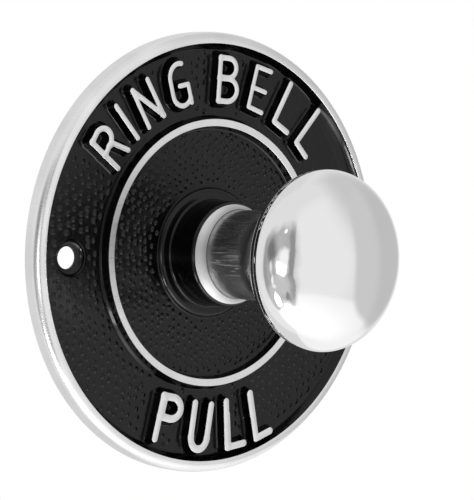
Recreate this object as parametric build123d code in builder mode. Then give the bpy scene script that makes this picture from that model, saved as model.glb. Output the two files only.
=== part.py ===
from build123d import *
import math
import os

# Bell pull for a front door: a cast wall plate and a sprung knob that slides out when pulled.
# The wall is the plane Y = 0. The front of the plate faces -Y, up is +Z.
# Lengths are in millimetres. "out" is a height in front of the wall, "depth" one behind it.

# Cast plate
plate_radius = 51.0
relief_out = 4.45
field_out = 2.3
relief_draft_run = 0.55
relief_foot_fillet = 0.7
rim_width = 2.6
rim_draft_run = 1.25
rim_round = 1.6
ring_inner_radius = 29.3
ring_outer_radius = 31.0

# Boss round the neck: its face is a shallow cone, highest at the bore
boss_wall = 1.75
boss_out = 10.9
boss_face_angle = 30.0
boss_draft_run = 0.25
boss_edge_round = 0.9
boss_foot_fillet = 0.6
collar_width = 2.3
collar_height = 1.1
collar_edge_round = 1.3

# The bore, and all that runs in it, lies this far to the right of the cast boss's centre
bore_offset = 1.1

# Wall fixing holes
fixing_inset = 11.1
fixing_hole_radius = 2.75
countersink_radius = 4.25
countersink_angle = 90.0

# Barrel behind the wall plane
barrel_depth = 6.0
barrel_wall = 5.7
barrel_root_fillet = 2.0

# Knob
knob_radius = 20.3
knob_half_depth = 10.7
knob_centre_out = 41.3
neck_radius = 10.25
neck_clearance = 0.08
neck_cove_radius = 15.0
neck_foot_chamfer = 0.6

# Leather buffer under the neck's foot
buffer_thickness = 1.5
buffer_bore_clearance = 0.3

# Pull rod
rod_square = 6.0
rod_thread_radius = 2.95
rod_thread_clearance = 0.03
rod_neck_grip = 16.0
rod_square_length = 25.5
rod_tail_length = 9.2
rod_tang_length = 7.0
rod_tang_thickness = 3.0
rod_corner_chamfer = 0.4
wire_hole_radius = 1.5

# Cross pin through the neck and the rod
pin_radius = 1.0
pin_clearance = 0.02
pin_foot_distance = 2.3

# Guide plate and its screws
guide_thickness = 2.5
guide_edge_chamfer = 0.4
guide_hole_clearance = 0.06
guide_screw_radius = 1.5
guide_screw_clearance = 0.05
guide_screw_grip = 6.0
guide_head_radius = 2.6
guide_head_height = 2.0
guide_head_chamfer = 0.3
guide_slot_width = 0.8
guide_slot_depth = 1.0

# Return spring
spring_wire_radius = 0.6
spring_mean_radius = 6.2
spring_turns = 5.5

# Washer and nuts on the rod's tail
washer_radius = 7.5
washer_thickness = 1.6
tail_hole_clearance = 0.15
nut_across_flats = 10.0
nut_height = 4.0
lock_nut_height = 3.0
nut_corner_drop = 0.45

# Sizes that follow from the ones above
rim_land_inner_radius = plate_radius - rim_width
fixing_spacing = 2 * (plate_radius - fixing_inset)
bore_radius = neck_radius + neck_clearance
boss_radius = bore_radius + boss_wall
boss_cone_height = boss_radius * math.tan(math.radians(boss_face_angle))
collar_radius = boss_radius + boss_draft_run + collar_width
collar_out = field_out + collar_height
barrel_radius = bore_radius + barrel_wall
neck_foot_depth = barrel_depth - buffer_thickness
guide_back_depth = barrel_depth + guide_thickness
guide_screw_pitch_radius = (bore_radius + barrel_radius) / 2
rod_square_end_depth = neck_foot_depth + rod_square_length
washer_depth = rod_square_end_depth
nut_depth = washer_depth + washer_thickness
lock_nut_depth = nut_depth + nut_height
rod_tail_end_depth = rod_square_end_depth + rod_tail_length
rod_tip_depth = rod_tail_end_depth + rod_tang_length
wire_hole_depth = rod_tip_depth - rod_thread_radius
tail_hole_radius = rod_thread_radius + tail_hole_clearance
spring_length = washer_depth - guide_back_depth

os.makedirs("parts", exist_ok=True)


# The bore's axis, and the level plane through it that turned sections are drawn on
bore_axis = Axis((bore_offset, 0, 0), (0, 1, 0))
bore_section = Plane((bore_offset, 0, 0), x_dir=(1, 0, 0), z_dir=(0, 0, 1))


def front(distance):
    """A sketch plane in front of the wall, facing the viewer, centred on the plate."""
    return Plane.XZ.offset(distance)


def behind(distance):
    """A sketch plane behind the wall, facing into it, with Z up, centred on the bore."""
    return Plane((bore_offset, distance, 0), x_dir=(-1, 0, 0), z_dir=(0, 1, 0))


def corner(x, y):
    """The corner of the sketch being drawn that is nearest to a point."""
    return vertices().sort_by_distance((x, y))[0]


# Plate casting: its section is turned about the Y axis, and the barrel and the bore are set off it.
with BuildPart() as backplate:
    with BuildSketch(Plane.XY):
        with BuildLine():
            Polyline(
                (0, 0),
                (0, -boss_out - boss_cone_height),
                (boss_radius, -boss_out),
                (boss_radius + boss_draft_run, -collar_out),
                (collar_radius, -collar_out),
                (collar_radius + relief_draft_run, -field_out),
                (ring_inner_radius - relief_draft_run, -field_out),
                (ring_inner_radius, -relief_out),
                (ring_outer_radius, -relief_out),
                (ring_outer_radius + relief_draft_run, -field_out),
                (rim_land_inner_radius - rim_draft_run, -field_out),
                (rim_land_inner_radius, -relief_out),
                (plate_radius, -relief_out),
                (plate_radius, 0),
                close=True,
            )
        make_face()
        fillet(corner(plate_radius, -relief_out), rim_round)
        fillet(corner(boss_radius, -boss_out), boss_edge_round)
        fillet(corner(boss_radius + boss_draft_run, -collar_out), boss_foot_fillet)
        fillet(corner(collar_radius, -collar_out), collar_edge_round)
        relief_feet = (
            ring_inner_radius - relief_draft_run,
            ring_outer_radius + relief_draft_run,
            rim_land_inner_radius - rim_draft_run,
        )
        for foot_radius in relief_feet:
            fillet(corner(foot_radius, -field_out), relief_foot_fillet)
    revolve(axis=Axis.Y)

    with BuildSketch(behind(0)):
        Circle(barrel_radius)
    extrude(amount=barrel_depth)
    fillet(edges(Select.LAST).filter_by(GeomType.CIRCLE).sort_by(Axis.Y)[0], barrel_root_fillet)
    with BuildSketch(behind(barrel_depth)):
        Circle(bore_radius)
    extrude(amount=-barrel_depth - boss_out - boss_cone_height, mode=Mode.SUBTRACT)

    with Locations(front(field_out)):
        with GridLocations(fixing_spacing, 0, 2, 1):
            CounterSinkHole(fixing_hole_radius, countersink_radius, counter_sink_angle=countersink_angle)

    with BuildSketch(behind(barrel_depth)):
        with GridLocations(2 * guide_screw_pitch_radius, 0, 2, 1):
            Circle(guide_screw_radius + guide_screw_clearance)
    extrude(amount=-guide_screw_grip - guide_screw_clearance, mode=Mode.SUBTRACT)

backplate.part.label = "backplate"
export_step(backplate.part, "parts/backplate.step")


def cove_meeting():
    """Where the neck's cove runs out on the ball: the ellipse angle in degrees, and the cove's centre in Y."""
    low = 0.0
    high = 90.0
    for _ in range(60):
        angle = (low + high) / 2
        across = math.cos(math.radians(angle)) / knob_radius
        along = math.sin(math.radians(angle)) / knob_half_depth
        slope = math.hypot(across, along)
        centre_radius = knob_radius * math.cos(math.radians(angle)) + neck_cove_radius * across / slope
        if centre_radius > neck_radius + neck_cove_radius:
            low = angle
        else:
            high = angle
    meeting_y = knob_half_depth * math.sin(math.radians(angle)) - knob_centre_out
    return angle, meeting_y + neck_cove_radius * along / slope


# Knob: a flattened ball turned in one piece with its neck, drilled for the rod and its pin.
cove_angle, cove_centre_y = cove_meeting()
with BuildPart() as knob:
    with BuildSketch(bore_section):
        with BuildLine():
            ball = EllipticalCenterArc(
                (0, -knob_centre_out),
                knob_radius,
                knob_half_depth,
                start_angle=-90,
                arc_size=90 + cove_angle,
            )
            cove = TangentArc(ball @ 1, (neck_radius, cove_centre_y), tangent=ball % 1)
            Polyline(cove @ 1, (neck_radius, neck_foot_depth), (0, neck_foot_depth), ball @ 0)
        make_face()
        chamfer(corner(neck_radius, neck_foot_depth), neck_foot_chamfer)
    revolve(axis=bore_axis)
    with BuildSketch(behind(neck_foot_depth)):
        Circle(rod_thread_radius + rod_thread_clearance)
    extrude(amount=-rod_neck_grip - rod_thread_clearance, mode=Mode.SUBTRACT)
    with BuildSketch(bore_section):
        with Locations((0, neck_foot_depth - pin_foot_distance)):
            Circle(pin_radius + pin_clearance)
    extrude(amount=2 * neck_radius, both=True, mode=Mode.SUBTRACT)

knob.part.label = "knob"
export_step(knob.part, "parts/knob.step")

# Rod: a round end in the neck, a square length that slides in the guide, a round tail, a flat tang.
with BuildPart() as pull_rod:
    with BuildSketch(behind(neck_foot_depth)):
        Circle(rod_thread_radius)
    extrude(amount=-rod_neck_grip)
    with BuildSketch(behind(neck_foot_depth)):
        Rectangle(rod_square, rod_square)
    extrude(amount=rod_square_length)
    chamfer(edges().filter_by(Axis.Y), rod_corner_chamfer)
    with BuildSketch(behind(rod_square_end_depth)):
        Circle(rod_thread_radius)
    extrude(amount=rod_tail_length)
    with BuildSketch(bore_section):
        with Locations((0, (rod_tail_end_depth + wire_hole_depth) / 2)):
            Rectangle(2 * rod_thread_radius, wire_hole_depth - rod_tail_end_depth)
        with Locations((0, wire_hole_depth)):
            Circle(rod_thread_radius)
    extrude(amount=rod_tang_thickness / 2, both=True)
    with BuildSketch(bore_section):
        with Locations((0, wire_hole_depth)):
            Circle(wire_hole_radius)
    extrude(amount=rod_tang_thickness, both=True, mode=Mode.SUBTRACT)
    with BuildSketch(bore_section):
        with Locations((0, neck_foot_depth - pin_foot_distance)):
            Circle(pin_radius + pin_clearance)
    extrude(amount=rod_square, both=True, mode=Mode.SUBTRACT)

pull_rod.part.label = "pull_rod"
export_step(pull_rod.part, "parts/pull_rod.step")

# Cross pin: its ends are dressed to stay inside the neck's round surface.
with BuildPart() as neck_pin:
    with BuildSketch(bore_section):
        with Locations((0, neck_foot_depth - pin_foot_distance)):
            Circle(pin_radius)
    extrude(amount=neck_radius, both=True)
    with BuildSketch(behind(neck_foot_depth)):
        Circle(neck_radius - pin_clearance)
    extrude(amount=-2 * pin_foot_distance, mode=Mode.INTERSECT)

neck_pin.part.label = "neck_pin"
export_step(neck_pin.part, "parts/neck_pin.step")

# Leather washer between the neck's foot and the guide plate
with BuildPart() as buffer_washer:
    with BuildSketch(behind(neck_foot_depth)):
        Circle(neck_radius - neck_foot_chamfer)
        Circle(rod_square / 2 * 2**0.5 + buffer_bore_clearance, mode=Mode.SUBTRACT)
    extrude(amount=buffer_thickness)

buffer_washer.part.label = "buffer_washer"
export_step(buffer_washer.part, "parts/buffer_washer.step")

# Guide plate: the square hole keeps the rod and the knob from turning.
with BuildPart() as guide_plate:
    with BuildSketch(behind(barrel_depth)):
        Circle(barrel_radius)
        Rectangle(
            rod_square + 2 * guide_hole_clearance,
            rod_square + 2 * guide_hole_clearance,
            mode=Mode.SUBTRACT,
        )
        with GridLocations(2 * guide_screw_pitch_radius, 0, 2, 1):
            Circle(guide_screw_radius + guide_screw_clearance, mode=Mode.SUBTRACT)
    extrude(amount=guide_thickness)
    chamfer(faces().sort_by(Axis.Y)[-1].outer_wire().edges(), guide_edge_chamfer)

guide_plate.part.label = "guide_plate"
export_step(guide_plate.part, "parts/guide_plate.step")

# Two cheese head screws hold the guide plate to the barrel.
with BuildPart() as guide_screws:
    with BuildSketch(behind(guide_back_depth)):
        with GridLocations(2 * guide_screw_pitch_radius, 0, 2, 1):
            Circle(guide_head_radius)
    extrude(amount=guide_head_height)
    chamfer(edges().group_by(Axis.Y)[-1], guide_head_chamfer)
    with BuildSketch(behind(guide_back_depth)):
        with GridLocations(2 * guide_screw_pitch_radius, 0, 2, 1):
            Circle(guide_screw_radius)
    extrude(amount=-guide_thickness - guide_screw_grip)
    with BuildSketch(behind(guide_back_depth + guide_head_height)):
        with GridLocations(2 * guide_screw_pitch_radius, 0, 2, 1):
            Rectangle(guide_slot_width, 2 * guide_head_radius)
    extrude(amount=-guide_slot_depth, mode=Mode.SUBTRACT)

guide_screws.part.label = "guide_screws"
export_step(guide_screws.part, "parts/guide_screws.step")

# Return spring: one coil of round wire, its ends ground flat on their seats.
with BuildPart() as return_spring:
    with BuildLine():
        coil = Helix(
            pitch=spring_length / spring_turns,
            height=spring_length,
            radius=spring_mean_radius,
            center=(bore_offset, guide_back_depth, 0),
            direction=(0, 1, 0),
        )
    with BuildSketch(coil ^ 0):
        Circle(spring_wire_radius)
    sweep(path=coil, is_frenet=True)
    with BuildSketch(behind(guide_back_depth)):
        Circle(spring_mean_radius + 2 * spring_wire_radius)
    extrude(amount=spring_length, mode=Mode.INTERSECT)

return_spring.part.label = "return_spring"
export_step(return_spring.part, "parts/return_spring.step")

# Washer at the spring's far end, against the adjusting nut
with BuildPart() as spring_washer:
    with BuildSketch(behind(washer_depth)):
        Circle(washer_radius)
        Circle(tail_hole_radius, mode=Mode.SUBTRACT)
    extrude(amount=washer_thickness)

spring_washer.part.label = "spring_washer"
export_step(spring_washer.part, "parts/spring_washer.step")


def hex_nut(depth, height):
    """A hexagon nut on the rod's tail, its outer corners turned off at both faces."""
    across_corners = nut_across_flats / 3**0.5 * 2
    with BuildPart() as nut:
        with BuildSketch(behind(depth)):
            RegularPolygon(across_corners / 2, 6)
        extrude(amount=height)
        with BuildSketch(bore_section):
            with BuildLine():
                Polyline(
                    (0, depth),
                    (nut_across_flats / 2, depth),
                    (across_corners / 2, depth + nut_corner_drop),
                    (across_corners / 2, depth + height - nut_corner_drop),
                    (nut_across_flats / 2, depth + height),
                    (0, depth + height),
                    close=True,
                )
            make_face()
        revolve(axis=bore_axis, mode=Mode.INTERSECT)
        with BuildSketch(behind(depth)):
            Circle(rod_thread_radius + rod_thread_clearance)
        extrude(amount=height, mode=Mode.SUBTRACT)
    return nut.part


adjusting_nut = hex_nut(nut_depth, nut_height)
adjusting_nut.label = "adjusting_nut"
export_step(adjusting_nut, "parts/adjusting_nut.step")

lock_nut = hex_nut(lock_nut_depth, lock_nut_height)
lock_nut.label = "lock_nut"
export_step(lock_nut, "parts/lock_nut.step")
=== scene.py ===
import math
import random
from functools import partial
import bmesh
import bpy
import numpy as np
from mathutils import Matrix, Vector
from mathutils.geometry import delaunay_2d_cdt


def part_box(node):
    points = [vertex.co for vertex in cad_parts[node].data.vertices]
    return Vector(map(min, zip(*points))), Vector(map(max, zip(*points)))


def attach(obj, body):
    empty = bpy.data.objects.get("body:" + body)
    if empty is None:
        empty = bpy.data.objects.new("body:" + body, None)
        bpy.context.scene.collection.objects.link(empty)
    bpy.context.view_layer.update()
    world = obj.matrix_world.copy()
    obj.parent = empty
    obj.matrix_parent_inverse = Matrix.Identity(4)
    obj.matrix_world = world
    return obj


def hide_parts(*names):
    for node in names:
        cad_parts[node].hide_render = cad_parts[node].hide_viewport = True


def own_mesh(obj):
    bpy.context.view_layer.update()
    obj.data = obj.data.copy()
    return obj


# Bell pull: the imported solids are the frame. The wall is the plane Y = 0 and the front faces -Y.
# Lengths are in metres. "out" is a height in front of the wall.
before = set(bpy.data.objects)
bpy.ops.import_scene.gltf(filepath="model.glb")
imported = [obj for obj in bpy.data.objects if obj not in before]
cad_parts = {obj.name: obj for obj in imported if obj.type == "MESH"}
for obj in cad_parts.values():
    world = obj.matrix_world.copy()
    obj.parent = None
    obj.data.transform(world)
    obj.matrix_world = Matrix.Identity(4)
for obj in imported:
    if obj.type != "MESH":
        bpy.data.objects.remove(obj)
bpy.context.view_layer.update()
MM = 0.001

_, plate_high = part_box("backplate")
knob_low, knob_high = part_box("knob")
spring_low, spring_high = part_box("return_spring")

# Plate sizes, from the frame where it gives them
PLATE_RADIUS = plate_high.x
BORE_X = (knob_low.x + knob_high.x) / 2
BARREL_DEPTH = plate_high.y
RELIEF_OUT = 4.45 * MM
FIELD_OUT = 2.3 * MM
DRAFT_RUN = 0.55 * MM
FOOT_FILLET = 0.7 * MM
RIM_INNER = PLATE_RADIUS - 2.6 * MM
RIM_DRAFT_RUN = 1.25 * MM
RIM_ROUND = 2.1 * MM
RING_INNER = 29.3 * MM
RING_OUTER = 31.0 * MM
LAND_EDGE_ROUND = 0.12 * MM
NECK_RADIUS = 10.25 * MM
BORE_RADIUS = NECK_RADIUS + 0.08 * MM
BOSS_OUT = 10.9 * MM
BOSS_RADIUS = BORE_RADIUS + 1.75 * MM
BOSS_FACE_SLOPE = math.tan(math.radians(30))
BOSS_DRAFT_RUN = 0.25 * MM
BOSS_EDGE_ROUND = 0.9 * MM
BOSS_BARE_RADIUS = 11.45 * MM
BOSS_FOOT_FILLET = 0.6 * MM
COLLAR_RADIUS = BOSS_RADIUS + BOSS_DRAFT_RUN + 2.3 * MM
COLLAR_OUT = FIELD_OUT + 1.1 * MM
COLLAR_EDGE_ROUND = 1.3 * MM
COLLAR_FOOT_FILLET = 0.45 * MM
BARREL_RADIUS = BORE_RADIUS + 5.7 * MM
BARREL_ROOT_FILLET = 2.0 * MM
FIXING_X = PLATE_RADIUS - 11.1 * MM
FIXING_RADIUS = 2.75 * MM
ENAMEL_IN_HOLE = 0.2 * MM
COUNTERSINK_RADIUS = 4.25 * MM
COUNTERSINK_LIP = 0.08 * MM
COUNTERSINK_FLARE = 0.4 * MM
GUIDE_SCREW_REACH = (BORE_RADIUS + BARREL_RADIUS) / 2
GUIDE_HOLE_RADIUS = 1.55 * MM
GUIDE_HOLE_DEPTH = 6.05 * MM

# Knob sizes
KNOB_RADIUS = (knob_high.x - knob_low.x) / 2
KNOB_HALF_DEPTH = 10.7 * MM
KNOB_CENTRE_OUT = -knob_low.y - KNOB_HALF_DEPTH
NECK_FOOT_DEPTH = knob_high.y
NECK_COVE_RADIUS = 15.0 * MM
NECK_FOOT_CHAMFER = 0.6 * MM
ROD_HOLE_RADIUS = 2.98 * MM
ROD_HOLE_DEPTH = 16.03 * MM
PIN_HOLE_RADIUS = 1.02 * MM
PIN_FOOT_DISTANCE = 2.3 * MM

# Spring sizes
SPRING_WIRE = 0.6 * MM
SPRING_MEAN_RADIUS = (spring_high.x - spring_low.x) / 2 - SPRING_WIRE
SPRING_TURNS = 5.5

# Mesh fineness. SUPPORT is how far past a fillet its supporting ring lies.
TURN_STEPS = 256
ARC_STEP = math.radians(9)
SHARP_ANGLE = math.radians(32)
LETTER_SHARP_ANGLE = math.radians(40)
CONTOUR_STEP = 0.12 * MM
SUPPORT = 0.03 * MM
HAIR = 1e-9

# Materials

# Most of a noise's values lie between these two
NOISE_LOW = 0.3
NOISE_HIGH = 0.7

# The patch at the boss's left where the enamel's specular level is turned down, a painted shade that stands
# in for a darker reflection there: its middle, and its reach along each axis
SHADED_GLOSS_MIDDLE = (-26 * MM, 0, 8 * MM)
SHADED_GLOSS_REACH = (27 * MM, 0, 19 * MM)
ENAMEL_IOR = 1.4
ENAMEL_WAVES = 420
ENAMEL_PEEL = 2600
SCRATCHES = 2500

# Where the painted shade round the bore begins and ends outside its edge, in millimetres, and how dark it is.
# It darkens the boss face next to the neck, standing in for the neck's shade and dark reflection there.
BORE_SHADE_FROM = -0.2
BORE_SHADE_TO = 1.5
BORE_SHADE_SHARE = 0.6

# On the neck, in millimetres from the ball's centre: where the scoring ends, and where the cove's colour
# turns dark, a painted shade standing in for the cove's dark reflection.
# The deepest streaks lie in a band about STREAK_Z.
SCORED_TO = (20, 16)
COVE_SHADE_FROM = (17.5, 14.5)
COVE_SHADE_SHARE = 0.36
STREAK_Z = -1.5 * MM


def new_material(name):
    """A material with nodes: its tree and its Principled shader."""
    material = bpy.data.materials.new(name)
    material.use_nodes = True
    tree = material.node_tree
    return material, tree, tree.nodes["Principled BSDF"]


def noise(tree, scale, detail, stretch=(1, 1, 1)):
    """Noise in object space, in cycles to the metre."""
    place = tree.nodes.new("ShaderNodeTexCoord")
    mapping = tree.nodes.new("ShaderNodeMapping")
    mapping.inputs["Scale"].default_value = stretch
    texture = tree.nodes.new("ShaderNodeTexNoise")
    texture.inputs["Scale"].default_value = scale
    texture.inputs["Detail"].default_value = detail
    tree.links.new(place.outputs["Object"], mapping.inputs["Vector"])
    tree.links.new(mapping.outputs["Vector"], texture.inputs["Vector"])
    return texture.outputs["Fac"]


def spread(tree, value, low, high):
    """Spreads a noise over a range of values."""
    node = tree.nodes.new("ShaderNodeMapRange")
    node.inputs["From Min"].default_value = NOISE_LOW
    node.inputs["From Max"].default_value = NOISE_HIGH
    node.inputs["To Min"].default_value = low
    node.inputs["To Max"].default_value = high
    tree.links.new(value, node.inputs["Value"])
    return node.outputs["Result"]


def bump(tree, height, depth, below=None):
    """A bump of a depth in metres, over another one if it is given."""
    node = tree.nodes.new("ShaderNodeBump")
    node.inputs["Strength"].default_value = 1.0
    node.inputs["Distance"].default_value = depth
    tree.links.new(height, node.inputs["Height"])
    if below is not None:
        tree.links.new(below, node.inputs["Normal"])
    return node.outputs["Normal"]


def colour_range(tree, value, dark, light):
    """A colour that follows a noise from dark to light."""
    ramp = tree.nodes.new("ShaderNodeValToRGB")
    ramp.color_ramp.elements[0].position = NOISE_LOW
    ramp.color_ramp.elements[0].color = (*dark, 1)
    ramp.color_ramp.elements[1].position = NOISE_HIGH
    ramp.color_ramp.elements[1].color = (*light, 1)
    tree.links.new(value, ramp.inputs["Fac"])
    return ramp.outputs["Color"]


def place_from(tree, centre, scale):
    """Distance from a point of the object, in units of scale along each axis. An axis of 0 isn't counted."""
    place = tree.nodes.new("ShaderNodeTexCoord")
    shift = tree.nodes.new("ShaderNodeVectorMath")
    shift.operation = "SUBTRACT"
    shift.inputs[1].default_value = centre
    squeeze = tree.nodes.new("ShaderNodeVectorMath")
    squeeze.operation = "MULTIPLY"
    squeeze.inputs[1].default_value = [1 / length if length else 0 for length in scale]
    length = tree.nodes.new("ShaderNodeVectorMath")
    length.operation = "LENGTH"
    tree.links.new(place.outputs["Object"], shift.inputs[0])
    tree.links.new(shift.outputs["Vector"], squeeze.inputs[0])
    tree.links.new(squeeze.outputs["Vector"], length.inputs[0])
    return length.outputs["Value"]


def ease(tree, value, low, high, at_low, at_high):
    """A smooth step between two levels."""
    node = tree.nodes.new("ShaderNodeMapRange")
    node.interpolation_type = "SMOOTHSTEP"
    node.inputs["From Min"].default_value = low
    node.inputs["From Max"].default_value = high
    node.inputs["To Min"].default_value = at_low
    node.inputs["To Max"].default_value = at_high
    tree.links.new(value, node.inputs["Value"])
    return node.outputs["Result"]


def arithmetic(tree, operation, *values):
    """The result of a Math node over numbers and sockets."""
    node = tree.nodes.new("ShaderNodeMath")
    node.operation = operation
    for place, value in enumerate(values):
        if isinstance(value, (int, float)):
            node.inputs[place].default_value = value
        else:
            tree.links.new(value, node.inputs[place])
    return node.outputs["Value"]


def scaled(tree, colour, share):
    """A colour times a varying share."""
    node = tree.nodes.new("ShaderNodeVectorMath")
    node.operation = "SCALE"
    tree.links.new(colour, node.inputs[0])
    tree.links.new(share, node.inputs["Scale"])
    return node.outputs["Vector"]


def black_enamel(name, pits, pit_depth, rough=0.1, shaded_specular=None):
    """Glossy black enamel over the uneven sand casting.

    Its specular level falls to the given low level at the boss's left, where that is given: a painted shade
    that darkens the reflection there, not a duller enamel.
    """
    material, tree, shader = new_material(name)
    # Painted shade: the enamel's specular level is turned down towards the boss's left
    if shaded_specular is not None:
        reach = place_from(tree, SHADED_GLOSS_MIDDLE, SHADED_GLOSS_REACH)
        tree.links.new(ease(tree, reach, 0.3, 1.25, shaded_specular, 0.5), shader.inputs["Specular IOR Level"])
    waves = noise(tree, ENAMEL_WAVES, 2)
    peel = noise(tree, ENAMEL_PEEL, 2)
    tree.links.new(colour_range(tree, waves, (0.0006,) * 3, (0.0012,) * 3), shader.inputs["Base Color"])
    tree.links.new(spread(tree, peel, rough, rough + 0.08), shader.inputs["Roughness"])
    shader.inputs["IOR"].default_value = ENAMEL_IOR
    low = bump(tree, waves, 0.02 * MM)
    grain = bump(tree, noise(tree, pits, 2), pit_depth, low)
    tree.links.new(bump(tree, peel, 0.0012 * MM, grain), shader.inputs["Normal"])
    return material


def bare_metal(name, light, rough, patch_scale, patch_detail, wave_depth, scratch_depth, bore_shade=False):
    """Bare high faces of the casting, rubbed bright and scratched, with painted shade round the bore if
    asked.
    """
    material, tree, shader = new_material(name)
    scratches = noise(tree, SCRATCHES, 3, (0.12, 1, 1))
    patches = noise(tree, patch_scale, patch_detail)
    shader.inputs["Metallic"].default_value = 1.0
    colour = colour_range(tree, patches, (light - 0.08,) * 3, (light,) * 3)
    if bore_shade:
        # Painted shade: the colour darkens towards the bore's edge, next to the neck
        reach = place_from(tree, (BORE_X, 0, 0), (MM, 0, MM))
        edge = BORE_RADIUS / MM
        colour = scaled(tree, colour, ease(tree, reach, edge + BORE_SHADE_FROM, edge + BORE_SHADE_TO, BORE_SHADE_SHARE, 1.0))
    tree.links.new(colour, shader.inputs["Base Color"])
    tree.links.new(spread(tree, scratches, rough - 0.04, rough + 0.06), shader.inputs["Roughness"])
    low = bump(tree, patches, wave_depth)
    tree.links.new(bump(tree, scratches, scratch_depth, low), shader.inputs["Normal"])
    return material


def mirror_plating():
    """Mirror plating with the faintest haze."""
    material, tree, shader = new_material("mirror_plating")
    haze = noise(tree, 300, 3)
    shader.inputs["Metallic"].default_value = 1.0
    shader.inputs["Base Color"].default_value = (0.9, 0.9, 0.9, 1)
    tree.links.new(spread(tree, haze, 0.012, 0.03), shader.inputs["Roughness"])
    return material


def turned_plating():
    """Plating over the neck: scored lengthwise where it slides in the bore, smooth at the cove, with its
    colour darkened there as a painted shade for the cove's dark reflection.
    """
    material, tree, shader = new_material("turned_plating")
    scores = noise(tree, 3400, 4, (1, 0.03, 1))
    patches = noise(tree, 300, 3)
    reach = place_from(tree, (0, NECK_FOOT_DEPTH, 0), (0, MM, 0))
    ball_side = (NECK_FOOT_DEPTH + KNOB_CENTRE_OUT) / MM
    slid = ease(tree, reach, ball_side - SCORED_TO[0], ball_side - SCORED_TO[1], 1.0, 0.0)
    shader.inputs["Metallic"].default_value = 1.0
    # Painted shade: the plating's colour is darkened at the cove, standing in for its dark reflection
    cove_shade = ease(tree, reach, ball_side - COVE_SHADE_FROM[0], ball_side - COVE_SHADE_FROM[1], 1.0, COVE_SHADE_SHARE)
    colour = scaled(tree, colour_range(tree, patches, (0.6,) * 3, (0.7,) * 3), cove_shade)
    tree.links.new(colour, shader.inputs["Base Color"])
    band = place_from(tree, (0, 0, STREAK_Z), (0, 0, MM))
    below = place_from(tree, (0, 0, -NECK_RADIUS), (0, 0, MM))
    deepest = ease(tree, band, 1.2, 4.0, 0.5, 0.05)
    streaks = arithmetic(tree, "MULTIPLY", ease(tree, scores, 0.54, 0.62, 0.0, 1.0), deepest)
    scored = arithmetic(tree, "ADD", ease(tree, below, 4, 16, 0.34, 0.24), streaks)
    rough = tree.nodes.new("ShaderNodeMix")
    rough.inputs["A"].default_value = 0.3
    tree.links.new(slid, rough.inputs["Factor"])
    tree.links.new(scored, rough.inputs["B"])
    tree.links.new(rough.outputs["Result"], shader.inputs["Roughness"])
    normal = bump(tree, scores, 0.003 * MM)
    tree.links.new(slid, normal.node.inputs["Strength"])
    tree.links.new(normal, shader.inputs["Normal"])
    return material


def worn_metal(name, dark, light, rough, scale, stretch, depth):
    """A bare or plated steel with a grain, from a few numbers."""
    material, tree, shader = new_material(name)
    grain = noise(tree, scale, 4, stretch)
    patches = noise(tree, 350, 3)
    shader.inputs["Metallic"].default_value = 1.0
    tree.links.new(colour_range(tree, patches, dark, light), shader.inputs["Base Color"])
    tree.links.new(spread(tree, grain, rough - 0.06, rough + 0.08), shader.inputs["Roughness"])
    tree.links.new(bump(tree, grain, depth), shader.inputs["Normal"])
    return material


def leather():
    """Brown leather with pores and a rough cut edge."""
    material, tree, shader = new_material("buffer_leather")
    pores = noise(tree, 3000, 4)
    shader.inputs["Roughness"].default_value = 0.75
    browns = colour_range(tree, pores, (0.07, 0.035, 0.018), (0.16, 0.085, 0.045))
    tree.links.new(browns, shader.inputs["Base Color"])
    tree.links.new(bump(tree, pores, 0.08 * MM), shader.inputs["Normal"])
    return material


ENAMEL = black_enamel("black_enamel", 900, 0.01 * MM)
# The last number of each enamel below is its specular level in the painted shade at the boss's left
GROUND = black_enamel("enamelled_ground", 750, 0.05 * MM, 0.13, 0.3)
DOTS = black_enamel("enamelled_dots", 750, 0.02 * MM, 0.16, 0.5)
LAND = bare_metal("rubbed_land", 0.9, 0.3, 260, 3, 0.006 * MM, 0.0004 * MM)
RIM = bare_metal("rubbed_rim", 0.91, 0.24, 110, 1, 0.07 * MM, 0.0002 * MM)
NOSE = bare_metal("rubbed_nose", 0.76, 0.36, 260, 3, 0.01 * MM, 0.001 * MM, bore_shade=True)
MIRROR = mirror_plating()
TURNED = turned_plating()
DRAWN_STEEL = worn_metal(
    "drawn_steel", (0.42, 0.42, 0.41), (0.55, 0.55, 0.54), 0.3, 3000, (1, 0.05, 1), 0.004 * MM
)
ZINC_STEEL = worn_metal(
    "zinc_steel", (0.55, 0.56, 0.57), (0.7, 0.7, 0.69), 0.34, 2200, (1, 1, 1), 0.006 * MM
)
SPRING_STEEL = worn_metal(
    "spring_steel", (0.25, 0.25, 0.26), (0.4, 0.4, 0.4), 0.32, 3500, (1, 1, 1), 0.003 * MM
)
LEATHER = leather()

# Turned pieces


def rounded_path(corners):
    """A path through corners (radius, y, fillet, material), with each fillet drawn as an arc.

    Returns points (radius, y) and, for each, the material index of the stretch that follows it.
    """
    points = []
    count = len(corners)
    for i in range(count):
        here = Vector(corners[i][:2])
        fillet, material = corners[i][2:]
        before = Vector(corners[i - 1][:2])
        after = Vector(corners[(i + 1) % count][:2])
        if fillet == 0:
            points.append((here, material))
            continue
        back = (before - here).normalized()
        ahead = (after - here).normalized()
        half = back.angle(ahead) / 2
        reach = fillet / math.tan(half)
        centre = here + (back + ahead).normalized() * fillet / math.sin(half)
        start = here + back * reach - centre
        turn = math.pi - 2 * half
        side = -1 if back.cross(ahead) > 0 else 1
        steps = max(3, math.ceil(turn / ARC_STEP))
        points.append((here + back * (reach + SUPPORT), corners[i - 1][3]))
        for k in range(steps + 1):
            a = side * turn * k / steps
            x = start.x * math.cos(a) - start.y * math.sin(a)
            y = start.x * math.sin(a) + start.y * math.cos(a)
            points.append((centre + Vector((x, y)), material))
        points.append((here + ahead * (reach + SUPPORT), material))
    return points


def about_bore(radius, y, angle):
    """A point of a section turned about the bore's own axis."""
    return BORE_X + radius * math.cos(angle), y, radius * math.sin(angle)


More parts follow.
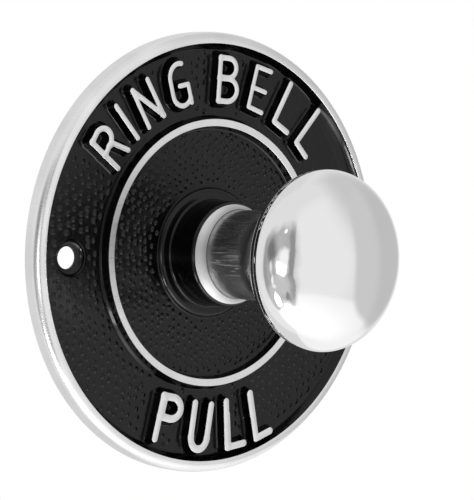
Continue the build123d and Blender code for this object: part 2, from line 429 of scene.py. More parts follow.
def lathe(name, points, materials, place):
    """A closed section (radius, y) with its materials, turned by a rule of place. Radius 0 makes a pole."""
    mesh = bmesh.new()
    rows = []
    for (radius, y), _ in points:
        steps = 1 if radius < HAIR else TURN_STEPS
        rows.append([mesh.verts.new(place(radius, y, 2 * math.pi * k / steps)) for k in range(steps)])
    for i, (_, material) in enumerate(points):
        near = rows[i]
        far = rows[(i + 1) % len(rows)]
        if len(near) == 1 and len(far) == 1:
            continue
        for k in range(TURN_STEPS):
            after = (k + 1) % TURN_STEPS
            corners = [near[k % len(near)], near[after % len(near)], far[after % len(far)], far[k % len(far)]]
            face = mesh.faces.new(list(dict.fromkeys(corners)))
            face.material_index = material
    bmesh.ops.recalc_face_normals(mesh, faces=mesh.faces)
    return finish_mesh(name, mesh, materials)


def finish_mesh(name, mesh, materials, sharp=SHARP_ANGLE):
    """Turns a bmesh into a smooth shaded object with sharp edges kept."""
    data = bpy.data.meshes.new(name)
    mesh.to_mesh(data)
    mesh.free()
    for material in materials:
        data.materials.append(material)
    data.shade_smooth()
    data.set_sharp_from_angle(angle=sharp)
    piece = bpy.data.objects.new(name, data)
    bpy.context.collection.objects.link(piece)
    return piece


def cut(piece, cutter):
    """Cuts one mesh out of another, for good."""
    boolean = piece.modifiers.new("cut", "BOOLEAN")
    boolean.operation = "DIFFERENCE"
    boolean.solver = "EXACT"
    boolean.object = cutter
    bpy.context.view_layer.update()
    evaluated = piece.evaluated_get(bpy.context.evaluated_depsgraph_get())
    data = bpy.data.meshes.new_from_object(evaluated)
    piece.modifiers.clear()
    old = piece.data
    piece.data = data
    data.name = old.name
    bpy.data.meshes.remove(old)
    bpy.data.objects.remove(cutter, do_unlink=True)
    data.set_sharp_from_angle(angle=SHARP_ANGLE)


def close_tube(mesh, rows):
    """The sides and the two ends of a tube, from rows of as many points each."""
    count = len(rows[0])
    for near, far in zip(rows, rows[1:]):
        for k in range(count):
            after = (k + 1) % count
            mesh.faces.new((near[k], near[after], far[after], far[k]))
    mesh.faces.new(rows[0])
    mesh.faces.new(rows[-1])
    bmesh.ops.recalc_face_normals(mesh, faces=mesh.faces)


def pin(name, sections, x, axis, material, steps):
    """A solid of round sections (place along the axis, radius), for cutting a hole."""
    mesh = bmesh.new()
    rows = []
    for place, radius in sections:
        row = []
        for k in range(steps):
            a = 2 * math.pi * k / steps
            across, up = radius * math.cos(a), radius * math.sin(a)
            row.append(mesh.verts.new((x + across, place, up) if axis == "Y" else (x + across, up, place)))
        rows.append(row)
    close_tube(mesh, rows)
    return finish_mesh(name, mesh, [material])


def boss_face_out(radius):
    """Height of the boss's face, a shallow cone that rises towards the bore."""
    return BOSS_OUT + (BOSS_RADIUS - radius) * BOSS_FACE_SLOPE


def plate_place(radius, y, angle):
    """A point of the plate's section: the bore and the barrel lie a little off the plate's centre."""
    on_face = y < -FIELD_OUT and radius < BOSS_BARE_RADIUS
    shift = 0.0
    if on_face:
        shift = BORE_X * (BOSS_BARE_RADIUS - radius) / (BOSS_BARE_RADIUS - BORE_RADIUS)
    elif y > -HAIR and radius < FIXING_X:
        shift = BORE_X
    x = shift + radius * math.cos(angle)
    z = radius * math.sin(angle)
    return x, -boss_face_out(math.hypot(x, z)) if on_face else y, z


def make_plate():
    """The cast plate: enamel all over, apart from its rubbed rim, ring and boss face."""
    enamel, land, rim, nose, ground = range(5)
    corners = [(BORE_RADIUS, BARREL_DEPTH, 0, enamel)]
    face_rings = 4
    for i in range(face_rings + 1):
        radius = BORE_RADIUS + (BOSS_BARE_RADIUS - BORE_RADIUS) * i / face_rings
        corners.append((radius, -boss_face_out(radius), 0, enamel if i == face_rings else nose))
    corners += [
        (BOSS_RADIUS, -BOSS_OUT, BOSS_EDGE_ROUND, enamel),
        (BOSS_RADIUS + BOSS_DRAFT_RUN, -COLLAR_OUT, BOSS_FOOT_FILLET, enamel),
        (COLLAR_RADIUS, -COLLAR_OUT, COLLAR_EDGE_ROUND, enamel),
        (COLLAR_RADIUS + DRAFT_RUN, -FIELD_OUT, COLLAR_FOOT_FILLET, ground),
        (RING_INNER - DRAFT_RUN, -FIELD_OUT, FOOT_FILLET, enamel),
        (RING_INNER, -RELIEF_OUT, LAND_EDGE_ROUND, land),
        (RING_OUTER, -RELIEF_OUT, LAND_EDGE_ROUND, enamel),
        (RING_OUTER + DRAFT_RUN, -FIELD_OUT, FOOT_FILLET, ground),
    ]
    field_rings = 9
    for i in range(field_rings):
        radius = RING_OUTER + (RIM_INNER - RIM_DRAFT_RUN - RING_OUTER) * (i + 1) / (field_rings + 1)
        corners.append((radius, -FIELD_OUT, 0, ground))
    corners += [
        (RIM_INNER - RIM_DRAFT_RUN, -FIELD_OUT, FOOT_FILLET, enamel),
        (RIM_INNER, -RELIEF_OUT, LAND_EDGE_ROUND, rim),
        (PLATE_RADIUS, -RELIEF_OUT, RIM_ROUND, rim),
        (PLATE_RADIUS, 0, 0, enamel),
        (BARREL_RADIUS, 0, BARREL_ROOT_FILLET, enamel),
        (BARREL_RADIUS, BARREL_DEPTH, 0, enamel),
    ]
    plate = lathe("plate_casting", rounded_path(corners), [ENAMEL, LAND, RIM, NOSE, GROUND], plate_place)
    hole_radius = FIXING_RADIUS - ENAMEL_IN_HOLE
    dish = COUNTERSINK_RADIUS - hole_radius
    hollow = []
    for degrees in range(85, -5, -10):
        a = math.radians(degrees)
        hollow.append((-FIELD_OUT + dish * math.sin(a), hole_radius + dish * math.cos(a)))
    for x in (-FIXING_X, FIXING_X):
        sections = [(MM, hole_radius), (-FIELD_OUT + dish, hole_radius), *hollow]
        sections.append((-FIELD_OUT, COUNTERSINK_RADIUS + COUNTERSINK_LIP))
        sections.append((-RELIEF_OUT, COUNTERSINK_RADIUS + COUNTERSINK_FLARE))
        cut(plate, pin("fixing_cutter", sections, x, "Y", ENAMEL, 96))
    for side in (-1, 1):
        hole_end = BARREL_DEPTH - GUIDE_HOLE_DEPTH
        sections = [(BARREL_DEPTH + MM, GUIDE_HOLE_RADIUS), (hole_end, GUIDE_HOLE_RADIUS)]
        cut(plate, pin("screw_cutter", sections, BORE_X + side * GUIDE_SCREW_REACH, "Y", ENAMEL, 32))
    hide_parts("backplate")
    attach(plate, "wall_plate")


def cove_meeting():
    """Where the neck's cove runs out on the ball: the ellipse angle, and the cove's centre in Y."""
    low, high = 0.0, math.pi / 2
    for _ in range(60):
        angle = (low + high) / 2
        across = math.cos(angle) / KNOB_RADIUS
        along = math.sin(angle) / KNOB_HALF_DEPTH
        slope = math.hypot(across, along)
        centre_radius = KNOB_RADIUS * math.cos(angle) + NECK_COVE_RADIUS * across / slope
        if centre_radius > NECK_RADIUS + NECK_COVE_RADIUS:
            low = angle
        else:
            high = angle
    return angle, KNOB_HALF_DEPTH * math.sin(angle) - KNOB_CENTRE_OUT + NECK_COVE_RADIUS * along / slope


def make_knob():
    """The knob: a flattened ball, a cove and a straight neck, drilled from its foot."""
    mirror, turned = 0, 1
    meeting, cove_y = cove_meeting()
    cove_radius = NECK_RADIUS + NECK_COVE_RADIUS
    points = []
    ball_steps = 110
    for i in range(ball_steps + 1):
        a = -math.pi / 2 + (meeting + math.pi / 2) * i / ball_steps
        radius = max(0.0, KNOB_RADIUS * math.cos(a))
        points.append(((radius, KNOB_HALF_DEPTH * math.sin(a) - KNOB_CENTRE_OUT), mirror))
    start = math.atan2(points[-1][0][1] - cove_y, points[-1][0][0] - cove_radius)
    cove_steps = 28
    for i in range(1, cove_steps + 1):
        a = start + (-math.pi - start) * i / cove_steps
        point = (cove_radius + NECK_COVE_RADIUS * math.cos(a), cove_y + NECK_COVE_RADIUS * math.sin(a))
        points.append((point, turned if i > cove_steps // 5 else mirror))
    foot = NECK_FOOT_DEPTH
    hole_end = foot - ROD_HOLE_DEPTH
    neck_steps = 8
    for i in range(1, neck_steps):
        y = cove_y + (foot - NECK_FOOT_CHAMFER - cove_y) * i / neck_steps
        points.append(((NECK_RADIUS, y), turned))
    points += [
        ((NECK_RADIUS, foot - NECK_FOOT_CHAMFER), turned),
        ((NECK_RADIUS - NECK_FOOT_CHAMFER, foot), turned),
        ((ROD_HOLE_RADIUS, foot), turned),
        ((ROD_HOLE_RADIUS, hole_end), turned),
        ((0.0, hole_end), turned),
    ]
    knob = lathe("knob_turning", points, [MIRROR, TURNED], about_bore)
    pin_sections = [(-1.2 * NECK_RADIUS, PIN_HOLE_RADIUS), (1.2 * NECK_RADIUS, PIN_HOLE_RADIUS)]
    cutter = pin("pin_cutter", pin_sections, BORE_X, "Z", TURNED, 32)
    cutter.data.transform(Matrix.Translation((0, foot - PIN_FOOT_DISTANCE, 0)))
    cut(knob, cutter)
    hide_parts("knob")
    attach(knob, "pull")


# Raised letters

# In millimetres: how softly two strokes of a letter run together, and the empty margin round it
LETTER_BLEND = 0.35
LETTER_MARGIN = 1.2
LETTER_STEPS = 14


def arc(u, v, across, up, start, end):
    """Points along an ellipse, from one angle in degrees to another."""
    points = []
    for i in range(LETTER_STEPS + 1):
        a = math.radians(start + (end - start) * i / LETTER_STEPS)
        points.append((u + across * math.cos(a), v + up * math.sin(a)))
    return points


# Each letter: its name, the angle of its own upright in degrees, 1 where its top points outwards or -1
# where it points to the centre, how far it stands off that place towards +X, and its strokes as
# (half width, points), in millimetres. A point is (distance along the reading direction, distance from
# the centre along the upright).
LETTERS = [
    ("ring_r", 142.1, 1, 0.4, [
        (0.60, [(-1.95, 34.9), (-1.85, 44.5)]),
        (0.64, [(-1.85, 44.3)] + arc(0.65, 42.3, 2.4, 2.3, 90, -75)),
        (0.60, [(-1.9, 39.6), (0.6, 40.0)]),
        (0.57, [(0.3, 40.1), (1.7, 39.2), (3.05, 35.1)]),
    ]),
    ("ring_i", 131.0, 1, 0.48, [(0.55, [(0.0, 35.3), (-0.05, 44.9)])]),
    ("ring_n", 121.6, 1, 0.38, [
        (0.53, [(-1.65, 35.1), (-1.5, 44.7)]),
        (0.57, [(-1.5, 44.7), (3.4, 35.2)]),
        (0.55, [(3.4, 35.2), (3.5, 44.7)]),
    ]),
    ("ring_g", 105.0, 1, 0.25, [
        (0.55, arc(0.15, 41.6, 3.05, 3.4, 70, 180) + arc(-0.25, 38.1, 2.65, 2.85, 180, 325)),
        (0.52, [(-0.5, 39.9), (2.0, 39.75), (2.05, 35.4)]),
    ]),
    ("bell_b", 85.7, 1, 0.33, [
        (0.62, [(-2.0, 35.15), (-2.0, 45.1)]),
        (0.60, [(-2.0, 45.1)] + arc(0.5, 42.8, 2.35, 2.3, 90, -90) + [(-2.0, 40.5)]),
        (0.60, [(-2.0, 40.4)] + arc(0.5, 37.75, 2.95, 2.65, 90, -90) + [(-2.0, 35.1)]),
    ]),
    ("bell_e", 73.9, 1, 0.42, [
        (0.53, [(4.5, 44.9), (0.05, 44.9), (0.0, 35.2), (4.3, 34.9)]),
        (0.50, [(0.0, 39.9), (4.1, 39.8)]),
    ]),
    ("bell_l_one", 58.7, 1, 0.53, [(0.64, [(-0.75, 45.3), (-0.7, 35.1), (4.2, 35.0)])]),
    ("bell_l_two", 46.9, 1, 0.5, [(0.64, [(0.75, 45.6), (0.75, 35.4), (5.3, 35.0)])]),
    ("pull_p", -104.4, -1, 0.27, [
        (0.80, [(-6.6, -45.0), (-6.4, -34.9)]),
        (0.84, [(-6.4, -34.95)] + arc(-3.55, -37.3, 2.8, 2.5, 80, -90) + [(-6.4, -39.7)]),
        (0.78, [(-6.0, -39.0), (-5.9, -35.6)]),
    ]),
    ("pull_u", -99.2, -1, 0.33, [
        (0.80, [(-0.05, -35.0), (-0.1, -42.8)]),
        (0.86, arc(2.35, -42.8, 2.4, 2.75, 180, 360)),
        (0.80, [(4.75, -42.8), (4.85, -35.0)]),
    ]),
    ("pull_l_one", -88.7, -1, 0.42, [
        (0.78, [(2.85, -34.9), (3.0, -45.7), (8.1, -45.15)]),
        (0.76, [(3.1, -38.0), (3.4, -45.5)]),
    ]),
    ("pull_l_two", -80.1, -1, 0.38, [
        (0.80, [(5.1, -34.8), (5.2, -45.7), (9.7, -45.0)]),
        (0.70, [(4.9, -35.0), (5.0, -40.0)]),
    ]),
]

# Section of a letter in millimetres: (distance outside its outline, out), the top first. It is bare up to
# LETTER_BARE_REACH outside the outline.
LETTER_SECTION = [
    (-0.07, 4.45),
    (0.02, 4.41),
    (0.08, 4.30),
    (0.28, 3.55),
    (0.46, 2.90),
    (0.60, 2.58),
    (0.80, 2.38),
    (1.05, 2.27),
]
LETTER_BARE_REACH = 0.03


def stroke_distance(grid, points):
    """Distance in millimetres from each grid point to a line of points."""
    best = None
    for near, far in zip(points, points[1:]):
        near = np.array(near)
        along = np.array(far) - near
        share = np.clip(((grid - near) @ along) / max(along @ along, HAIR), 0, 1)
        gap = np.linalg.norm(grid - (near + share[..., None] * along), axis=-1)
        best = gap if best is None else np.minimum(best, gap)
    return best


def letter_distance(grid, strokes):
    """Distance outside a letter's outline, its strokes blended where they meet."""
    total = None
    for half, points in strokes:
        gap = stroke_distance(grid, points) - half
        if total is None:
            total = gap
            continue
        near = np.maximum(LETTER_BLEND - np.abs(total - gap), 0) / LETTER_BLEND
        total = np.minimum(total, gap) - near * near * LETTER_BLEND / 4
    return total


def contour(us, vs, field, level, points, edges):
    """Adds the line where a field over a grid passes a level: its points, and edges between them."""
    inside = field < level
    mixed = inside[:-1, :-1] != inside[1:, :-1]
    mixed |= inside[:-1, :-1] != inside[:-1, 1:]
    mixed |= inside[:-1, :-1] != inside[1:, 1:]
    made = {}
    for i, j in zip(*np.nonzero(mixed)):
        corners = [(i, j), (i + 1, j), (i + 1, j + 1), (i, j + 1)]
        crossed = []
        for c in range(4):
            near, far = sorted((corners[c], corners[(c + 1) % 4]))
            if inside[near] == inside[far]:
                continue
            if (near, far) not in made:
                share = (level - field[near]) / (field[far] - field[near])
                made[near, far] = len(points)
                u = us[near[0]] + (us[far[0]] - us[near[0]]) * share
                v = vs[near[1]] + (vs[far[1]] - vs[near[1]]) * share
                points.append((u, v))
            crossed.append(made[near, far])
        for c in range(0, len(crossed) - 1, 2):
            edges.append((crossed[c], crossed[c + 1]))


def letter_up(upright, sense):
    """The direction of a letter's upright, as X and Z."""
    a = math.radians(upright)
    return math.cos(a) * sense, math.sin(a) * sense


def letter_place(upright, sense, shift, u, v):
    """A letter's own (u, v) as X and Z on the plate, in millimetres."""
    up_x, up_z = letter_up(upright, sense)
    return u * up_z + v * up_x + shift, v * up_z - u * up_x


def make_letter(name, upright, sense, shift, strokes):
    """One raised letter: flat bare top, drafted enamelled sides that flare into the field."""
    every = np.array([point for _, stroke in strokes for point in stroke])
    margin = LETTER_SECTION[-1][0] + LETTER_MARGIN
    step = CONTOUR_STEP / MM
    us = np.arange(every[:, 0].min() - margin, every[:, 0].max() + margin, step)
    vs = np.arange(every[:, 1].min() - margin, every[:, 1].max() + margin, step)
    field = letter_distance(np.stack(np.meshgrid(us, vs, indexing="ij"), -1), strokes)
    points, edges, heights = [], [], []
    for level, out in LETTER_SECTION:
        contour(us, vs, field, level, points, edges)
        heights += [out] * (len(points) - len(heights))
    flat, _, faces, origins, _, _ = delaunay_2d_cdt([Vector(p) for p in points], edges, [], 0, 1e-6)
    flat = np.array([tuple(p) for p in flat])
    outs = [heights[origin[0]] if origin else LETTER_SECTION[-1][1] for origin in origins]
    middles = letter_distance(np.array([flat[list(face)].mean(axis=0) for face in faces]), strokes)
    mesh = bmesh.new()
    verts = []
    for (u, v), out in zip(flat, outs):
        x, z = letter_place(upright, sense, shift, u, v)
        verts.append(mesh.verts.new((x * MM, -out * MM, z * MM)))
    for face, middle in zip(faces, middles):
        if middle > LETTER_SECTION[-1][0]:
            continue
        made = mesh.faces.new([verts[k] for k in face])
        made.material_index = 1 if middle < LETTER_BARE_REACH else 0
    bmesh.ops.delete(mesh, geom=[v for v in mesh.verts if not v.link_faces], context="VERTS")
    mesh.normal_update()
    if sum(face.normal.y * face.calc_area() for face in mesh.faces) > 0:
        bmesh.ops.reverse_faces(mesh, faces=mesh.faces)
    letter = finish_mesh(f"letter_{name}", mesh, [ENAMEL, LAND], LETTER_SHARP_ANGLE)
    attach(letter, "wall_plate")


# Stippled ground, in millimetres: how far a dot is moved off its place, how high it stands, and how clear it
# keeps of the holes and the letters. Between the two angles of SMOOTH_ARC the outer band has none.
DOT_JITTER = 0.42
DOT_HEIGHTS = (0.24, 0.38)
DOT_SUNK = 0.01
ROW_SHARE = 0.866
INNER_PITCH = 1.95
INNER_DOT_RADII = (0.6, 0.85)
OUTER_PITCH = 2.25
OUTER_DOT_RADII = (0.7, 0.95)
HOLE_CLEARANCE = 0.9
LETTER_CLEARANCE = 2.6
SMOOTH_ARC = (8, 58)


def near_letter(x, z, gap):
    """Whether a place on the plate, in millimetres, is within a gap of a letter."""
    for _, upright, sense, shift, strokes in LETTERS:
        up_x, up_z = letter_up(upright, sense)
        u, v = (x - shift) * up_z - z * up_x, (x - shift) * up_x + z * up_z
        if letter_distance(np.array([[u, v]]), strokes)[0] < gap:
            return True
    return False


def add_dome(mesh, x, z, radius, height, rings=5, steps=14):
    """A low bell-shaped bump standing on the field."""
    rows = []
    for i in range(1, rings + 1):
        share = i / rings
        out = FIELD_OUT / MM + height * (math.cos(math.pi * share) + 1) / 2 - DOT_SUNK * share
        row = []
        for k in range(steps):
            a = 2 * math.pi * (k + 0.5 * (i % 2)) / steps
            place = (x + radius * share * math.cos(a), -out, z + radius * share * math.sin(a))
            row.append(mesh.verts.new([c * MM for c in place]))
        rows.append(row)
    top = mesh.verts.new([c * MM for c in (x, -(FIELD_OUT / MM + height), z)])
    for k in range(steps):
        mesh.faces.new((top, rows[0][k], rows[0][(k + 1) % steps]))
    for i, (near, far) in enumerate(zip(rows, rows[1:])):
        lead = (i + 1) % 2
        for k in range(steps):
            after = (k + 1) % steps
            if lead:
                mesh.faces.new((near[k], far[k], far[after]))
                mesh.faces.new((near[k], far[after], near[after]))
            else:
                mesh.faces.new((near[k], far[k], near[after]))
                mesh.faces.new((near[after], far[k], far[after]))


def stipple(name, inner, outer, pitch, radii, keep):
    """An uneven spread of domes between two radii, where keep(x, z) allows them."""
    random.seed(7)
    mesh = bmesh.new()
    rows = math.ceil(outer / (pitch * ROW_SHARE))
    for i in range(-rows, rows + 1):
        for j in range(-rows - 1, rows + 2):
            x = i * pitch * ROW_SHARE + random.uniform(-DOT_JITTER, DOT_JITTER)
            z = (j + 0.5 * (i % 2)) * pitch + random.uniform(-DOT_JITTER, DOT_JITTER)
            radius = random.uniform(*radii)
            height = random.uniform(*DOT_HEIGHTS)
            if inner + radius < math.hypot(x, z) < outer - radius and keep(x, z):
                add_dome(mesh, x, z, radius, height)
    mesh.normal_update()
    for face in mesh.faces:
        if face.normal.y > 0:
            face.normal_flip()
    piece = finish_mesh(name, mesh, [DOTS])
    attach(piece, "wall_plate")


def clear_of_holes_and_letters(x, z):
    """Whether the outer band has a dot at a place: clear of holes, letters and the smooth arc."""
    hole = min(math.hypot(x - FIXING_X / MM, z), math.hypot(x + FIXING_X / MM, z))
    if hole <= COUNTERSINK_RADIUS / MM + HOLE_CLEARANCE:
        return False
    if SMOOTH_ARC[0] < math.degrees(math.atan2(z, x)) < SMOOTH_ARC[1]:
        return False
    return not near_letter(x, z, LETTER_CLEARANCE)


def make_stipple():
    """The stippled ground inside the ring and at the sides of the lettering."""
    collar_foot = (COLLAR_RADIUS + DRAFT_RUN) / MM
    ring_foot = (RING_INNER - DRAFT_RUN) / MM
    stipple("stipple_inner", collar_foot, ring_foot, INNER_PITCH, INNER_DOT_RADII, lambda x, z: True)
    ring_outer_foot = (RING_OUTER + DRAFT_RUN) / MM
    rim_foot = (RIM_INNER - RIM_DRAFT_RUN) / MM
    keep = clear_of_holes_and_letters
    stipple("stipple_outer", ring_outer_foot, rim_foot, OUTER_PITCH, OUTER_DOT_RADII, keep)


# Enamel pooled in the corners of the casting, between two angles in degrees. RUN_RISE above 1 gives the
# swell a level middle.
RING_RUN_ARC = (194, 264)
RIM_RUN_ARC = (13, 47)
RUN_STEPS = 96
RUN_RISE = 1.6
RING_RUN_SPREAD = 0.6
RING_RUN_ROUND = 0.2 * MM
RIM_RUN_FILLET = 2.6 * MM


def make_enamel_run(name, start, end, section):
    """Enamel pooled along a corner of the plate, from its section at a swell of 0 to 1."""
    mesh = bmesh.new()
    rows = []
    for k in range(RUN_STEPS + 1):
        share = k / RUN_STEPS
        path, corner = section(min(1.0, RUN_RISE * math.sin(math.pi * share)))
        a = math.radians(start + (end - start) * share)
        points = [(point.x, point.y) for point, _ in rounded_path(path)[2:-2]] + [corner]
        rows.append([mesh.verts.new((radius * math.cos(a), y, radius * math.sin(a))) for radius, y in points])
    close_tube(mesh, rows)
    run = finish_mesh(name, mesh, [ENAMEL])
    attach(run, "wall_plate")


def ring_run(swell):
    """A chamfer of enamel at the foot of the ring's outer wall."""
    height = (0.5 + 0.1 * swell) * MM
    foot = RING_OUTER + DRAFT_RUN
    wall = foot - DRAFT_RUN * height / (RELIEF_OUT - FIELD_OUT)
    path = [
        (RING_OUTER, -RELIEF_OUT, 0, 0),
        (wall, -FIELD_OUT - height, RING_RUN_ROUND, 0),
        (foot + RING_RUN_SPREAD * height, -FIELD_OUT, RING_RUN_ROUND, 0),
        (RIM_INNER, -FIELD_OUT, 0, 0),
    ]
    return path, (foot - SUPPORT, -FIELD_OUT + SUPPORT)


def rim_run(swell):
    """A wide fillet of enamel at the foot of the rim's inner slope."""
    foot = RIM_INNER - RIM_DRAFT_RUN
    path = [
        (RIM_INNER, -RELIEF_OUT, 0, 0),
        (foot, -FIELD_OUT, FOOT_FILLET * 1.1 + RIM_RUN_FILLET * swell, 0),
        (RING_OUTER, -FIELD_OUT, 0, 0),
    ]
    return path, (foot + SUPPORT, -FIELD_OUT + SUPPORT)


# Spring

COIL_STEPS_A_TURN = 72
COIL_AROUND = 20


def make_spring():
    """The coil, its ends ground flat on their seats."""
    mesh = bmesh.new()
    rows = []
    steps = int(SPRING_TURNS * COIL_STEPS_A_TURN)
    length = spring_high.y - spring_low.y
    for i in range(steps + 1):
        a = 2 * math.pi * SPRING_TURNS * i / steps
        middle = Vector((SPRING_MEAN_RADIUS * math.cos(a), 0, SPRING_MEAN_RADIUS * math.sin(a)))
        outward = middle.normalized()
        row = []
        for k in range(COIL_AROUND):
            b = 2 * math.pi * k / COIL_AROUND
            point = middle + outward * SPRING_WIRE * math.cos(b)
            point.x += BORE_X
            y = spring_low.y + length * i / steps + SPRING_WIRE * math.sin(b)
            point.y = min(max(y, spring_low.y), spring_high.y)
            row.append(mesh.verts.new(point))
        rows.append(row)
    close_tube(mesh, rows)
    spring = finish_mesh("spring_coil", mesh, [SPRING_STEEL])
    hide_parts("return_spring")
    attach(spring, "wall_plate")
    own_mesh(spring)


def dress(node, material):
    """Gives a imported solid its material."""
    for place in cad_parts[node].material_slots:
        place.material = material


# Studio

# The tent's own level, and how far its folds bend the panels at its left, in degrees
STUDIO_BASE = 0.8
STUDIO_FOLDS = 16

# Soft panels of the studio that the gloss picks up, each laid over the ones before it: the azimuth and the
# elevation of its middle, its half widths, its squareness (2 is an ellipse), its softness, its level.
# Azimuth 0 is straight out from the wall and grows towards +X. Angles are in degrees.
STUDIO_PANELS = [
    ("front_tent", 8, 8, 32, 42, 4, 0.25, 0.88),
    ("floor_glow", 48, -70, 92, 46, 3, 0.05, 0.98),
    ("floor_left", -96, -78, 60, 50, 3, 0.3, 0.88),
    ("floor_halo", 2, -58, 72, 27, 2, 0.4, 1.12),
    ("floor_lamp", -18, -60, 42, 13, 2, 0.6, 3.6),
    ("floor_spot", -30, -54, 16, 6, 2, 0.4, 5.0),
    ("right_wall_top", 80, 32, 42, 34, 2, 0.45, 0.62),
    ("right_wall", 76, 3, 35, 34, 3, 0.08, 0.63),
    ("right_wall_inner", 89, 2, 23, 31, 2, 0.3, 0.56),
    ("opening_edge", -60, -4, 44, 42, 4, 0.12, 0.66),
    ("opening", -61, -4, 39, 36, 4, 0.12, 0.44),
    ("opening_ring", -72, -40, 23, 14, 2, 0.2, 0.58),
    ("opening_post", -26, -3, 5, 34, 6, 0.3, 0.31),
    ("opening_top", -47, 24, 13, 8, 3, 0.5, 0.5),
    ("opening_dark", -74, 12, 12, 12, 2, 0.6, 0.2),
    ("opening_edge_dark", -93, -8, 6, 26, 2, 0.5, 0.36),
    ("opening_low", -48, -26, 20, 10, 4, 0.5, 0.6),
    ("opening_corner", -34, -36, 5, 5, 2, 0.4, 0.28),
    ("window_glow", -46, -2, 14, 15, 2, 0.4, 0.75),
    ("window_top", -40, 4, 9, 9, 3, 0.4, 0.98),
    ("window", -46, -8, 9, 6, 3, 0.35, 3.5),
    ("lamp_high", -40, 29, 3, 3, 2, 0.4, 1.2),
    ("lamp_spots", -70, -20, 4, 6, 2, 0.6, 1.0),
    ("lamp_spots_low", -66, -28, 5, 3, 2, 0.6, 0.95),
    ("lamp_patch", -72, -6, 4, 6, 2, 0.5, 0.8),
    ("lamp_round", -65, -43, 8, 6, 2, 0.4, 16.0),
    ("behind", 180, 0, 42, 90, 8, 0.2, 0.74),
]


def studio_world():
    """White for the camera, and a light tent with its panels for everything that reflects or is lit."""
    world = bpy.data.worlds.new("studio")
    bpy.context.scene.world = world
    world.use_nodes = True
    tree = world.node_tree
    tree.nodes.clear()

    math_node = partial(arithmetic, tree)

    def offset(angle, middle, half, squareness):
        share = math_node("DIVIDE", math_node("ABSOLUTE", math_node("SUBTRACT", angle, middle)), half)
        return math_node("POWER", share, squareness)

    def panel(azimuth, elevation, places, softness):
        middle_azimuth, middle_elevation, half_azimuth, half_elevation, squareness = places
        across = offset(azimuth, middle_azimuth, half_azimuth, squareness)
        upward = offset(elevation, middle_elevation, half_elevation, squareness)
        reach = math_node("POWER", math_node("ADD", across, upward), 1 / squareness)
        node = tree.nodes.new("ShaderNodeMapRange")
        node.interpolation_type = "SMOOTHSTEP"
        node.inputs["From Min"].default_value = 1 + softness
        node.inputs["From Max"].default_value = 1 - softness
        tree.links.new(reach, node.inputs["Value"])
        return node.outputs["Result"]

    direction = tree.nodes.new("ShaderNodeTexCoord").outputs["Generated"]
    split = tree.nodes.new("ShaderNodeSeparateXYZ")
    tree.links.new(direction, split.inputs["Vector"])
    minus_y = math_node("MULTIPLY", split.outputs["Y"], -1)
    azimuth = math_node("DEGREES", math_node("ARCTAN2", split.outputs["X"], minus_y))
    azimuth_behind = math_node("WRAP", azimuth, 360, 0)
    elevation = math_node("DEGREES", math_node("ARCSINE", split.outputs["Z"]))
    folds = tree.nodes.new("ShaderNodeTexNoise")
    folds.inputs["Scale"].default_value = 3.2
    folds.inputs["Detail"].default_value = 3
    tree.links.new(direction, folds.inputs["Vector"])
    bend = math_node("MULTIPLY", math_node("SUBTRACT", folds.outputs["Fac"], 0.5), STUDIO_FOLDS)
    folded_azimuth = math_node("ADD", azimuth, bend)
    folded_elevation = math_node("SUBTRACT", elevation, bend)
    level = STUDIO_BASE
    for name, *places, softness, value in STUDIO_PANELS:
        sideways = azimuth_behind if name == "behind" else azimuth
        upwards = elevation
        if name.startswith(("opening", "window", "lamp")):
            sideways, upwards = folded_azimuth, folded_elevation
        mask = panel(sideways, upwards, places, softness)
        below = math_node("MULTIPLY", math_node("SUBTRACT", 1, mask), level)
        level = math_node("ADD", below, math_node("MULTIPLY", mask, value))
    camera = tree.nodes.new("ShaderNodeLightPath").outputs["Is Camera Ray"]
    unseen = math_node("MULTIPLY", math_node("SUBTRACT", 1, camera), level)
    background = tree.nodes.new("ShaderNodeBackground")
    background.inputs["Color"].default_value = (1, 1, 1, 1)
    tree.links.new(math_node("ADD", unseen, camera), background.inputs["Strength"])
    output = tree.nodes.new("ShaderNodeOutputWorld")
    tree.links.new(background.outputs["Background"], output.inputs["Surface"])


FLOOR_HEIGHT = -0.12
FLOOR_RADIUS = 0.34
FLOOR_STEPS = 96
FLOOR_GLOW = 0.3


def studio_floor():
    """A round pale floor under the part, which stays white for the camera but keeps the shadow."""
    mesh = bmesh.new()
    verts = []
    for k in range(FLOOR_STEPS):
        a = 2 * math.pi * k / FLOOR_STEPS
        verts.append(mesh.verts.new((FLOOR_RADIUS * math.cos(a), FLOOR_RADIUS * math.sin(a), FLOOR_HEIGHT)))
    mesh.faces.new(verts)
    material, tree, shader = new_material("pale_floor")
    shader.inputs["Roughness"].default_value = 0.9
    pale = colour_range(tree, noise(tree, 40, 2), (0.83,) * 3, (0.86,) * 3)
    tree.links.new(pale, shader.inputs["Base Color"])
    shader.inputs["Emission Color"].default_value = (1, 1, 1, 1)
    path = tree.nodes.new("ShaderNodeLightPath")
    seen = arithmetic(tree, "MAXIMUM", path.outputs["Is Camera Ray"], path.outputs["Is Glossy Ray"])
    tree.links.new(arithmetic(tree, "MULTIPLY", seen, FLOOR_GLOW), shader.inputs["Emission Strength"])
    floor = finish_mesh("floor", mesh, [material])
    floor.visible_glossy = False


LIGHT_SIZE = 0.8


def soft_light(name, place, power):
    """A square soft light, aimed at the plate, that gloss doesn't pick up."""
    data = bpy.data.lights.new(name, "AREA")
    data.size = LIGHT_SIZE
    data.energy = power
    light = bpy.data.objects.new(name, data)
    bpy.context.collection.objects.link(light)
    light.location = place
    light.rotation_mode = "QUATERNION"
    light.rotation_quaternion = (-Vector(place)).to_track_quat("-Z", "Y")
    light.visible_glossy = False


# Camera, from the perspective of the photograph

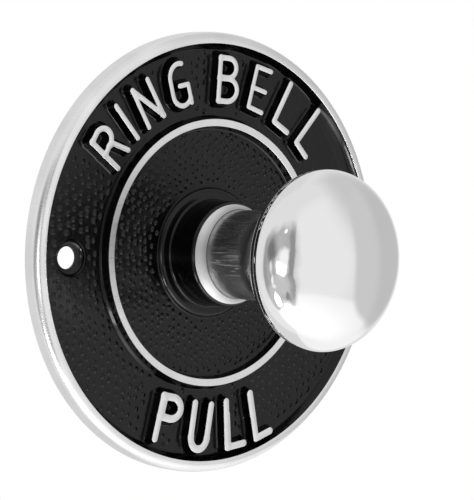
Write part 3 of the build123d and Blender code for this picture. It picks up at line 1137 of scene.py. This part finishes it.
CAMERA_AZIMUTH = math.radians(-39.96)
CAMERA_ELEVATION = math.radians(3.32)
CAMERA_DISTANCE = 0.6613
CAMERA_YAW = math.radians(0.707)
CAMERA_PITCH = math.radians(0.042)
CAMERA_ROLL = math.radians(0.385)
CAMERA_LENS = 204.8
SENSOR_WIDTH = 36


def make_camera():
    """The photograph's viewpoint: aimed at the wall plane's centre, then turned a little off it."""
    flat = math.cos(CAMERA_ELEVATION)
    across, out = math.sin(CAMERA_AZIMUTH) * flat, math.cos(CAMERA_AZIMUTH) * flat
    back = Vector((across, -out, math.sin(CAMERA_ELEVATION)))
    ahead = -back
    right = ahead.cross(Vector((0, 0, 1))).normalized()
    up = right.cross(ahead)
    yawed = ahead * math.cos(CAMERA_YAW) + right * math.sin(CAMERA_YAW)
    right = right * math.cos(CAMERA_YAW) - ahead * math.sin(CAMERA_YAW)
    aimed = yawed * math.cos(CAMERA_PITCH) + up * math.sin(CAMERA_PITCH)
    up = up * math.cos(CAMERA_PITCH) - yawed * math.sin(CAMERA_PITCH)
    rolled_right = right * math.cos(CAMERA_ROLL) + up * math.sin(CAMERA_ROLL)
    rolled_up = up * math.cos(CAMERA_ROLL) - right * math.sin(CAMERA_ROLL)
    data = bpy.data.cameras.new("camera")
    data.sensor_width = SENSOR_WIDTH
    data.lens = CAMERA_LENS
    data.clip_start = 0.01
    camera = bpy.data.objects.new("camera", data)
    bpy.context.collection.objects.link(camera)
    turn = Matrix((rolled_right, rolled_up, -aimed)).transposed().to_4x4()
    camera.matrix_world = Matrix.Translation(back * CAMERA_DISTANCE) @ turn
    bpy.context.scene.camera = camera


make_plate()
make_knob()
for letter in LETTERS:
    make_letter(*letter)
make_stipple()
make_enamel_run("enamel_run_ring", *RING_RUN_ARC, ring_run)
make_enamel_run("enamel_run_rim", *RIM_RUN_ARC, rim_run)
make_spring()
for node in ("pull_rod", "neck_pin", "guide_plate"):
    dress(node, DRAWN_STEEL)
for node in ("guide_screws", "spring_washer", "adjusting_nut", "lock_nut"):
    dress(node, ZINC_STEEL)
dress("buffer_washer", LEATHER)

studio_world()
studio_floor()
soft_light("key_light", (-0.7, -0.9, 0.9), 4)
soft_light("rear_light", (0.6, 0.8, 0.7), 3)
make_camera()
bpy.context.scene.view_settings.view_transform = "Standard"
